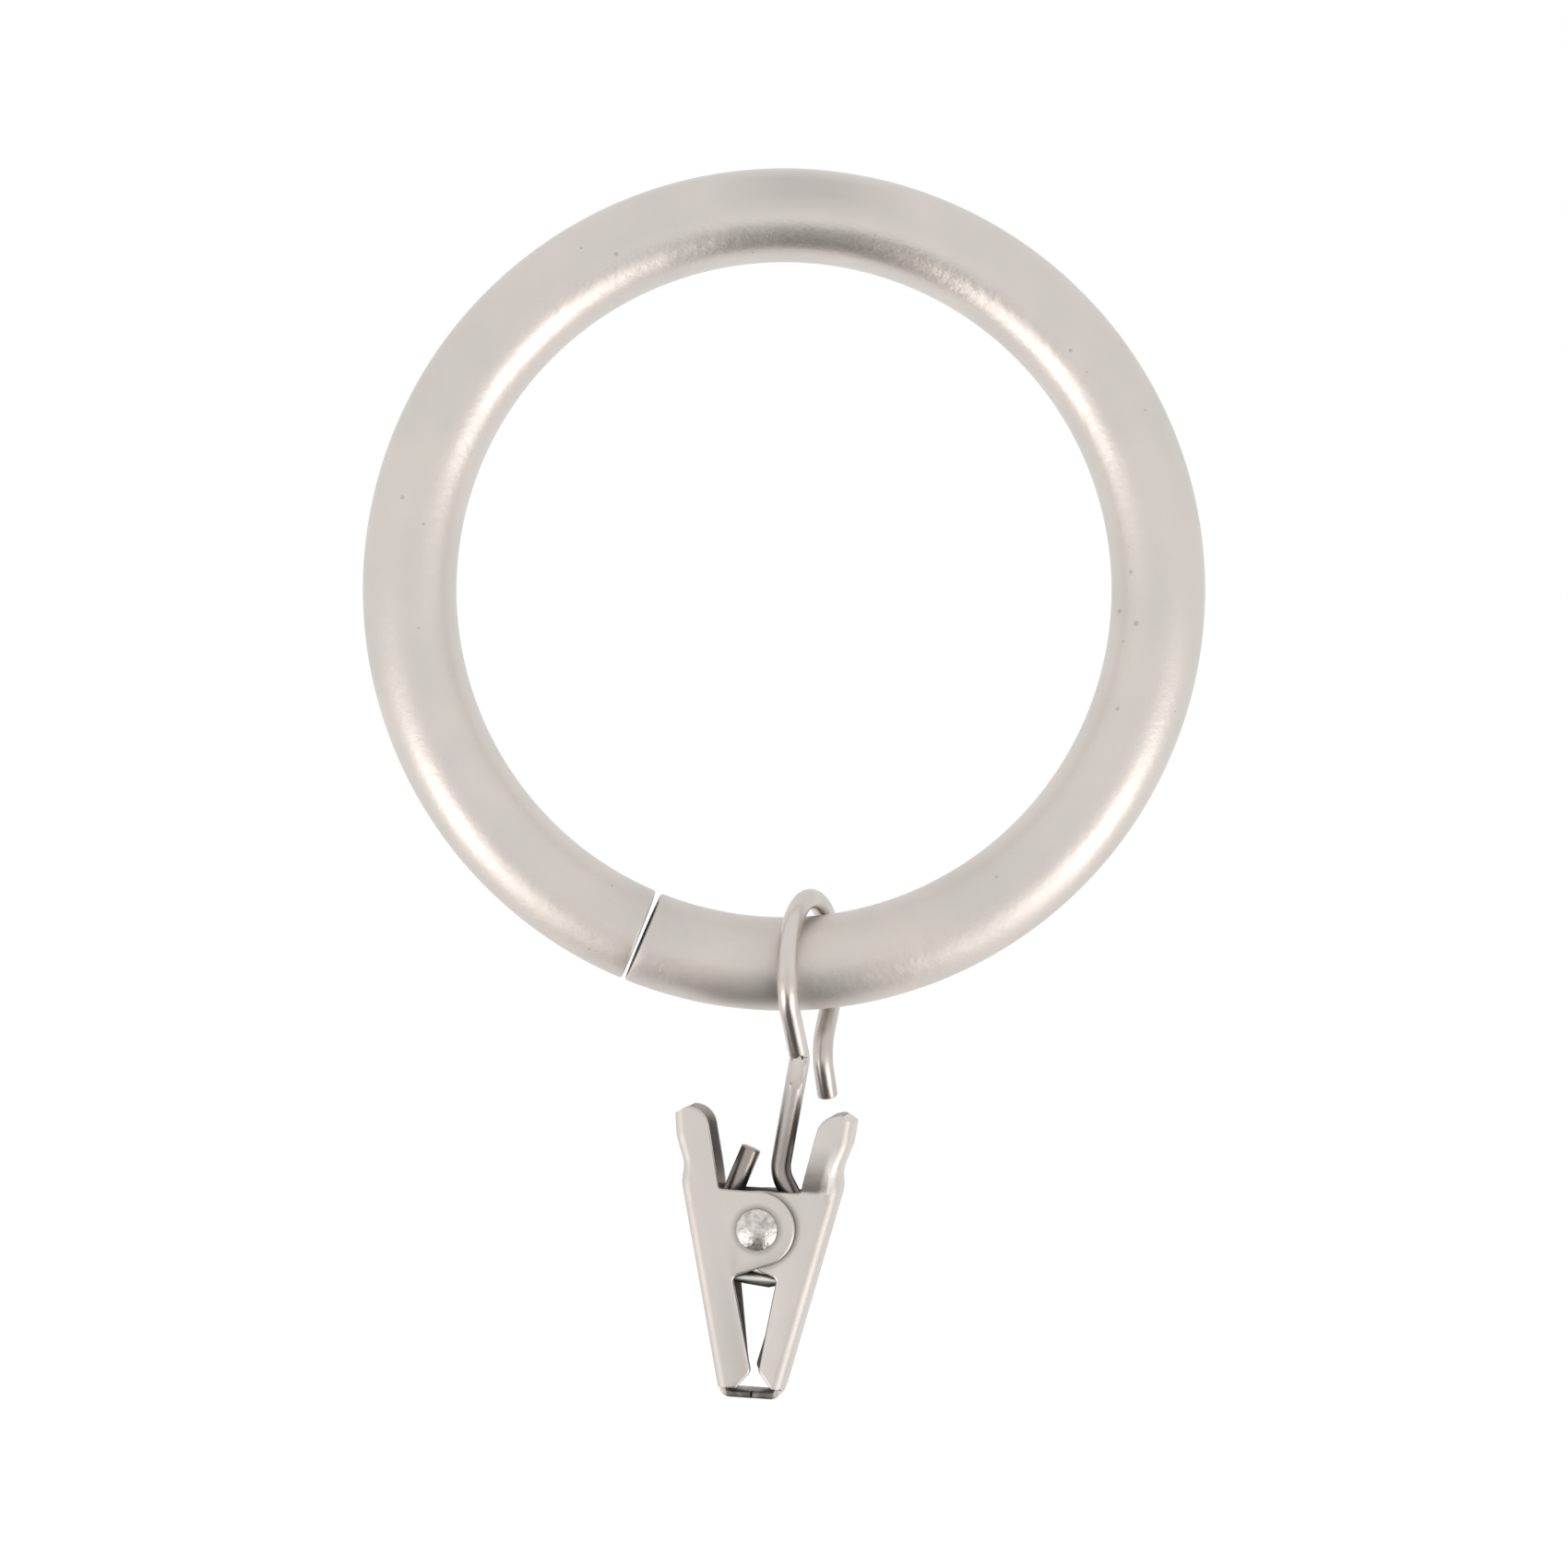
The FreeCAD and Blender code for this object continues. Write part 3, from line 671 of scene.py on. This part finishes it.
class OBJECT_OT_ring_tube(bpy.types.Operator):
    """Model the ring: a tube spun round and butted at an open seam"""
    bl_idname = "object.ring_tube"
    bl_label = "Ring"

    def execute(self, context):
        sizes = context.scene.ring_sizes
        metals = context.scene.metal_colours
        radius = (sizes.outside - sizes.tube) / 2
        gap_angle = (sizes.seam_inside + sizes.seam_outside) / 2 / radius
        taper = (sizes.seam_inside - sizes.seam_outside) / sizes.tube
        end_turn = (taper + gap_angle) / 2
        back_off = gap_angle / 2 + sizes.seam_round / radius
        start = sizes.seam_angle + back_off
        finish = sizes.seam_angle + 2 * math.pi - back_off
        first = self.centre(radius, start)
        way = self.along(start)
        piece = begin_circle("ring_tube", sizes.sides, sizes.tube / 2, square_to(way, first))
        spin_about((0, 0, 0), (0, 1, 0), finish - start, sizes.steps)
        self.close_end(sizes, self.centre(radius, finish), self.along(finish), end_turn)
        select_points(piece, lambda place: abs((place - first).dot(way)) < NEAR
                      and abs((place - first).length - sizes.tube / 2) < NEAR)
        self.close_end(sizes, first, -way, -end_turn)
        # The ring's finish carries a painted shade low on the tube beside the hook.
        material = metal_finish("satin_nickel_ring", metals.nickel, metals.nickel_dull, metals.speck, metals.satin,
                                RING_RELIEF, shade_by_hook(metals), rubbed_tube)
        finish_piece(piece, "ring", material)
        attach(piece, "ring")
        return {"FINISHED"}

    def centre(self, radius, angle):
        """Centre of the tube, an angle to the left of the ring's lowest point."""
        return Vector((-radius * math.sin(angle), 0, -radius * math.cos(angle)))

    def along(self, angle):
        """Direction of the tube there."""
        return Vector((-math.cos(angle), 0, math.sin(angle)))

    def close_end(self, sizes, centre, outward, end_turn):
        """Tilt the selected end, then turn it in to a rounded rim and a stretch of bore."""
        flat = Vector((0, 1, 0))
        inward = -centre.normalized()
        axes = Matrix((flat.cross(inward), flat, inward))
        bpy.ops.transform.rotate(value=-end_turn, orient_axis="Y", center_override=centre)
        bpy.ops.transform.rotate(value=-sizes.seam_lean, orient_axis="Z", orient_type="GLOBAL", orient_matrix=axes,
                                 orient_matrix_type="GLOBAL", center_override=centre)
        outward = Matrix.Rotation(sizes.seam_lean, 3, inward) @ Matrix.Rotation(end_turn, 3, "Y") @ outward
        outer = sizes.tube / 2
        reach = 0.0
        kept = outer
        for step in range(1, RIM_STEPS + 1):
            angle = math.pi / 2 * step / RIM_STEPS
            ahead = sizes.seam_round * math.sin(angle)
            smaller = outer - sizes.seam_round * (1 - math.cos(angle))
            extrude_by(outward * (ahead - reach))
            shrink_to(smaller / kept, centre + outward * ahead)
            reach = ahead
            kept = smaller
        extrude_by(outward * 0.0)
        shrink_to((outer - sizes.wall) / kept, centre + outward * reach)
        extrude_by(-outward * sizes.tube / 2)


class OBJECT_OT_ring_hook(bpy.types.Operator):
    """Model the hook: one wire, bent from its flared end over the tube and round the rivet"""
    bl_idname = "object.ring_hook"
    bl_label = "Hook"

    def execute(self, context):
        sizes = context.scene.hook_sizes
        metals = context.scene.metal_colours
        place = clip_place(context.scene.clip_sizes)
        points, bends = self.route(sizes, context.scene.ring_sizes.tube / 2, place)
        start = points[0]
        first_way = (points[1] - start).normalized()
        piece = begin_circle("hook_wire", sizes.sides, sizes.wire / 2, square_to(first_way, start))
        for before, corner, after, radius in zip(points, points[1:], points[2:], bends):
            start = run_and_bend(start, before, corner, after, radius)
        run_straight(start, points[-1])
        close_and_break_edge(sizes.end_round)
        select_points(piece, lambda point: abs((point - points[0]).dot(first_way)) < NEAR
                      and (point - points[0]).length < sizes.wire)
        close_and_break_edge(sizes.end_round)
        self.press_flat(piece, points[6], points[7], sizes)
        material = metal_finish("drawn_wire", metals.wire, metals.wire_dull, metals.speck, metals.bright,
                                WIRE_RELIEF, darker_shank(metals))
        finish_piece(piece, "wire_hook", material)
        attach(piece, "hook")
        return {"FINISHED"}

    def route(self, sizes, tube_radius, place):
        """Corners of the wire and the radius of each bend, from the open end to the tail."""
        loop = tube_radius + sizes.clearance + sizes.wire / 2

        def beside(out, drop):
            sideways = Vector((out * math.sin(sizes.hook_turn), out * math.cos(sizes.hook_turn), -drop))
            return TUBE_AT_HOOK + sideways

        eye_right = sizes.eye_bend * math.tan((math.pi / 2 + sizes.shank_lean) / 2)
        eye_left = sizes.eye_bend * math.tan((math.pi / 2 + sizes.tail_lean) / 2)
        shank_foot = eye_right - (sizes.shank_height + sizes.eye_drop) * math.tan(sizes.shank_lean)
        tail_tip = (sizes.tail_height + sizes.eye_drop) * math.tan(sizes.tail_lean) - eye_left
        points = [
            beside(sizes.throat_half + sizes.flare, sizes.throat_drop + sizes.flare_length),
            beside(sizes.throat_half, sizes.throat_drop),
            beside(loop, sizes.shoulder_drop),
            beside(loop, -loop),
            beside(-loop, -loop),
            beside(-loop, sizes.shoulder_drop),
            TUBE_AT_HOOK + Vector((sizes.kink_across, -sizes.kink_forward, -sizes.kink_drop)),
            place @ Vector((shank_foot, 0, sizes.shank_height)),
            place @ Vector((eye_right, 0, -sizes.eye_drop)),
            place @ Vector((-eye_left, 0, -sizes.eye_drop)),
            place @ Vector((tail_tip, 0, sizes.tail_height)),
        ]
        bends = [sizes.throat_bend, sizes.shoulder_bend, loop, loop, sizes.shoulder_bend,
                 sizes.kink_bend, sizes.shank_bend, sizes.eye_bend, sizes.eye_bend]
        return points, bends

    def press_flat(self, piece, kink, bend, sizes):
        """The small flat pressed into the front of the wire below its kink."""
        down = (bend - kink).normalized()
        front = Vector((0, -1, 0))
        front = (front - down * front.dot(down)).normalized()
        height = sizes.wire / 2 - sizes.pinch_depth
        low = sizes.pinch_start
        high = low + sizes.pinch_length
        select_points(piece, lambda point: low <= (point - kink).dot(down) <= high
                      and height < (point - kink).dot(front) < sizes.wire)
        axes = Matrix((down.cross(front), down, front))
        bpy.ops.transform.resize(value=(1, 1, 0), orient_type="GLOBAL", orient_matrix=axes,
                                 orient_matrix_type="GLOBAL", center_override=kink + front * height)


class OBJECT_OT_ring_rivet(bpy.types.Operator):
    """Model the rivet: a domed head, a shank and a clinched end, turned about its axis"""
    bl_idname = "object.ring_rivet"
    bl_label = "Rivet"

    def execute(self, context):
        sizes = context.scene.clip_sizes
        metals = context.scene.metal_colours
        profile = self.profile(sizes)
        lying = clip_place(sizes) @ Matrix.Rotation(-math.pi / 2, 4, "X")
        axis = (lying.to_3x3() @ Vector((0, 0, 1))).normalized()
        radius, along = profile[0]
        piece = begin_circle("rivet_turned", RIVET_SIDES, radius, lying @ Matrix.Translation((0, 0, along)))
        bpy.ops.mesh.edge_face_add()
        select_points(piece, lambda point: True)
        for next_radius, next_along in profile[1:]:
            extrude_by(axis * (next_along - along))
            shrink_to(next_radius / radius, PIVOT + axis * next_along)
            radius = next_radius
            along = next_along
        material = metal_finish("rivet_metal", metals.rivet, metals.rivet_dull_and_tube_shade, metals.speck, metals.hammered,
                                RIVET_RELIEF)
        finish_piece(piece, "rivet", material)
        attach(piece, "rivet")
        return {"FINISHED"}

    def profile(self, sizes):
        """Radius and place along the axis, from the head's crown to the dimple."""
        seat = sizes.jaw_width / 2 + sizes.head_gap
        crown = -seat - sizes.head_height
        rear = seat + sizes.clinch_height
        head = sizes.head / 2
        rise = sizes.head_height - sizes.head_rim
        curve = (head * head + rise * rise) / (2 * rise)
        widest = math.asin(head / curve)
        points = []
        for step in range(1, DOME_STEPS + 1):
            angle = widest * step / DOME_STEPS
            points.append((curve * math.sin(angle), crown + curve * (1 - math.cos(angle))))
        clinch = sizes.clinch / 2
        points += [
            (head, -seat - sizes.head_rim / 2),
            (head * UNDERCUT, -seat),
            (sizes.shank / 2, -seat),
            (sizes.shank / 2, seat),
            (clinch, seat),
            (clinch, seat + sizes.clinch_height / 2),
            (sizes.dimple, rear),
        ]
        for step in range(1, DOME_STEPS):
            angle = math.pi / 2 * step / DOME_STEPS
            points.append((sizes.dimple * math.cos(angle), rear - sizes.dimple_depth * math.sin(angle)))
        return points


class OBJECT_OT_ring_spring(bpy.types.Operator):
    """Model the leaf spring: a strip bent flat under the rivet, its legs behind the grips"""
    bl_idname = "object.ring_spring"
    bl_label = "Leaf spring"

    def execute(self, context):
        sizes = context.scene.clip_sizes
        metals = context.scene.metal_colours
        place = clip_place(sizes)
        flare = (sizes.seat_across - sizes.bow_across) / (sizes.seat_height - sizes.bow_height)
        tip = Vector((sizes.seat_across + flare * sizes.spring_tip, 0, sizes.seat_height + sizes.spring_tip))
        bow = Vector((sizes.bow_across, 0, sizes.bow_height))
        foot = Vector((sizes.spring_foot, 0, -sizes.spring_drop))
        mirrored = [Vector((-point.x, 0, point.z)) for point in (foot, bow, tip)]
        points = [place @ point for point in (tip, bow, foot, *mirrored)]
        bends = (sizes.bow_bend, sizes.spring_bend, sizes.spring_bend, sizes.bow_bend)
        down = (bow - tip).normalized()
        wide = Vector((0, sizes.strip_width, 0))
        thick = down.cross(wide).normalized() * sizes.strip
        section = Matrix((thick, wide, down * MM)).transposed().to_4x4()
        clear_selection()
        bpy.ops.mesh.primitive_plane_add(size=1)
        piece = name_piece("spring_strip", place @ Matrix.Translation(tip) @ section)
        start = points[0]
        for before, corner, after, radius in zip(points, points[1:], points[2:], bends):
            start = run_and_bend(start, before, corner, after, radius)
        run_straight(start, points[-1])
        bpy.ops.mesh.select_all(action="SELECT")
        bpy.ops.mesh.fill_holes(sides=0)
        round_edges(piece, sizes.strip_edge, STRIP_EDGE_STEPS, STRIP_EDGE_ANGLE)
        self.swell_bottom(piece, place, sizes)
        # The spring's finish has a painted shade on the lower half of its bottom.
        material = metal_finish("spring_steel", metals.spring, metals.wire, metals.speck, metals.bright,
                                SPRING_RELIEF, dark_underside(metals, sizes))
        finish_piece(piece, "leaf_spring", material)
        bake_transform(piece)
        return {"FINISHED"}

    def swell_bottom(self, piece, place, sizes):
        """The flat bottom made thicker towards its middle, in small steps."""
        to_clip = place.inverted()
        swell = sizes.bottom_swell ** (1 / SWELL_STEPS)
        bpy.ops.object.mode_set(mode="EDIT")
        for step in range(SWELL_STEPS):
            reach = sizes.swell_start - step * RUN_STEP
            select_points(piece, lambda point: abs((to_clip @ point).x) < reach)
            bpy.ops.transform.resize(value=(1, 1, swell), orient_type="GLOBAL",
                                     orient_matrix=place.to_3x3().transposed(), orient_matrix_type="GLOBAL",
                                     center_override=place @ Vector((0, 0, -sizes.spring_drop)))


class OBJECT_OT_ring_jaws(bpy.types.Operator):
    """Round the edges of the two stamped jaws and give them their satin finish"""
    bl_idname = "object.ring_jaws"
    bl_label = "Jaws"

    def execute(self, context):
        metals = context.scene.metal_colours
        sizes = context.scene.clip_sizes
        place = clip_place(sizes)
        axis = (place.to_3x3() @ Vector((0, 1, 0))).normalized()
        context.tool_settings.mesh_select_mode = (False, True, False)
        for node, name, side in (("left_jaw", "jaw_left", 1), ("right_jaw", "jaw_right", -1)):
            # Each jaw's finish carries painted shade and a painted highlight, and dirt round the rivet.
            material = metal_finish("satin_nickel_" + name, metals.nickel, metals.nickel_dull, metals.speck,
                                    metals.stamped, JAW_RELIEF, jaw_shade_and_highlight(metals, sizes, side), soft_bends(sizes))
            piece = copy_node(node, name)
            step = place @ Vector((-side * sizes.step_across, side * sizes.jaw_width / 2, sizes.step_height))
            select_stamped_edges(piece, axis, step, sizes.step_reach)
            bpy.ops.object.mode_set(mode="EDIT")
            bpy.ops.mesh.bevel(offset=sizes.jaw_edge, segments=EDGE_STEPS, affect="EDGES", clamp_overlap=False)
            finish_piece(piece, node, material)
            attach(piece, node)
        context.tool_settings.mesh_select_mode = (True, False, False)
        return {"FINISHED"}


class OBJECT_OT_ring_stage(bpy.types.Operator):
    """Set the floor, the lights, the dark card and the camera"""
    bl_idname = "object.ring_stage"
    bl_label = "Stage"

    def execute(self, context):
        stage = context.scene.stage_settings
        context.scene.view_settings.view_transform = "Standard"
        self.make_world(context.scene)
        self.make_floor(stage)
        self.make_card(stage)
        for side in (-1, 1):
            self.make_side_light(stage, side)
        self.make_camera(context.scene, stage)
        return {"FINISHED"}

    def make_world(self, scene):
        """Even white all round."""
        world = bpy.data.worlds.new("white_surround")
        world.use_nodes = True
        finish = Finish(world.node_tree)
        glow = finish.node("ShaderNodeBackground", {}, {"Color": WHITE, "Strength": 1.0})
        finish.node("ShaderNodeOutputWorld", {}, {"Surface": glow})
        scene.world = world

    def make_floor(self, stage):
        """Pale floor that shows white where nothing shades it."""
        clear_selection()
        bpy.ops.mesh.primitive_plane_add(size=FLOOR_SIZE, location=(0, 0, -stage.floor_drop))
        floor = bpy.context.object
        floor.name = "pale_floor"
        material = bpy.data.materials.new("pale_floor")
        material.use_nodes = True
        finish = Finish(material.node_tree)
        direct = finish.node("ShaderNodeLightPath", {}, {}, output="Is Camera Ray")
        glossy = finish.node("ShaderNodeLightPath", {}, {}, output="Is Glossy Ray")
        through = finish.node("ShaderNodeLightPath", {}, {}, output="Is Transmission Ray")
        seen = (direct + glossy + through) * stage.floor_glow
        matt = finish.node("ShaderNodeBsdfDiffuse", {}, {"Color": solid(stage.floor_shade)})
        glow = finish.node("ShaderNodeEmission", {}, {"Color": WHITE, "Strength": seen})
        both = finish.node("ShaderNodeAddShader", {}, {0: matt, 1: glow})
        finish.node("ShaderNodeOutputMaterial", {}, {"Surface": both})
        floor.data.materials.append(material)

    def make_card(self, stage):
        """Dark card under the ring, seen only in the metal."""
        clear_selection()
        across = (stage.card_right - stage.card_left) / 2
        forward = (stage.card_front + stage.card_rear) / 2
        middle = (across, -forward, -stage.card_drop)
        bpy.ops.mesh.primitive_plane_add(size=1.0, location=middle)
        card = bpy.context.object
        card.name = "dark_card"
        card.scale = (stage.card_left + stage.card_right, stage.card_front - stage.card_rear, 1.0)
        for way in ("visible_camera", "visible_diffuse", "visible_shadow", "visible_transmission"):
            setattr(card, way, False)
        material = bpy.data.materials.new("dark_card")
        material.use_nodes = True
        finish = Finish(material.node_tree)
        glow = finish.node("ShaderNodeEmission", {}, {"Color": WHITE, "Strength": stage.card_shade})
        finish.node("ShaderNodeOutputMaterial", {}, {"Surface": glow})
        card.data.materials.append(material)

    def make_side_light(self, stage, side):
        """Soft square light low at one side."""
        across, along, height = SIDE_LIGHT_WAY
        place = Vector((across * side, along, height)).normalized() * stage.side_distance
        clear_selection()
        bpy.ops.object.light_add(type="AREA", location=place)
        lamp = bpy.context.object
        lamp.name = "side_light_left" if side < 0 else "side_light_right"
        lamp.rotation_euler = (-place).to_track_quat("-Z", "Y").to_euler()
        lamp.data.size = stage.side_size
        lamp.data.color = stage.side_colour
        lamp.data.energy = stage.side_light * math.pi * stage.side_size ** 2
        lamp.visible_camera = False

    def make_camera(self, scene, stage):
        """Level view along the rod, square on the ring."""
        clear_selection()
        bpy.ops.object.camera_add(location=(0, -stage.distance, stage.centre_height), rotation=(math.pi / 2, 0, 0))
        camera = bpy.context.object
        camera.name = "front_camera"
        camera.data.sensor_width = SENSOR_WIDTH
        camera.data.lens = SENSOR_WIDTH * stage.distance / stage.frame_width
        camera.data.clip_start = CLIP_START
        scene.camera = camera


class VIEW3D_PT_curtain_ring(bpy.types.Panel):
    """The pieces of the ring and their sizes"""
    bl_idname = "VIEW3D_PT_curtain_ring"
    bl_label = "Curtain ring"
    bl_space_type = "VIEW_3D"
    bl_region_type = "UI"
    bl_category = "Curtain ring"

    def draw(self, context):
        for operator in PIECES:
            self.layout.operator(operator.bl_idname)
        for name in GROUPS:
            box = self.layout.box()
            group = getattr(context.scene, name)
            for key in group.bl_rna.properties.keys():
                if key not in ("rna_type", "name"):
                    box.prop(group, key)


GROUPS = {
    "ring_sizes": RingSizes,
    "hook_sizes": HookSizes,
    "clip_sizes": ClipSizes,
    "metal_colours": MetalColours,
    "stage_settings": StageSettings,
}
PIECES = (OBJECT_OT_ring_tube, OBJECT_OT_ring_hook, OBJECT_OT_ring_rivet, OBJECT_OT_ring_spring,
          OBJECT_OT_ring_jaws, OBJECT_OT_ring_stage)


def register():
    for group in GROUPS.values():
        bpy.utils.register_class(group)
    for name, group in GROUPS.items():
        setattr(bpy.types.Scene, name, PointerProperty(type=group))
    for operator in PIECES:
        bpy.utils.register_class(operator)
    bpy.utils.register_class(VIEW3D_PT_curtain_ring)


def unregister():
    bpy.utils.unregister_class(VIEW3D_PT_curtain_ring)
    for operator in reversed(PIECES):
        bpy.utils.unregister_class(operator)
    for name, group in GROUPS.items():
        delattr(bpy.types.Scene, name)
        bpy.utils.unregister_class(group)


def main():
    register()
    bpy.ops.object.ring_tube()
    bpy.ops.object.ring_hook()
    bpy.ops.object.ring_rivet()
    bpy.ops.object.ring_spring()
    bpy.ops.object.ring_jaws()
    bpy.ops.object.ring_stage()
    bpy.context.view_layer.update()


if __name__ == "__main__":
    main()
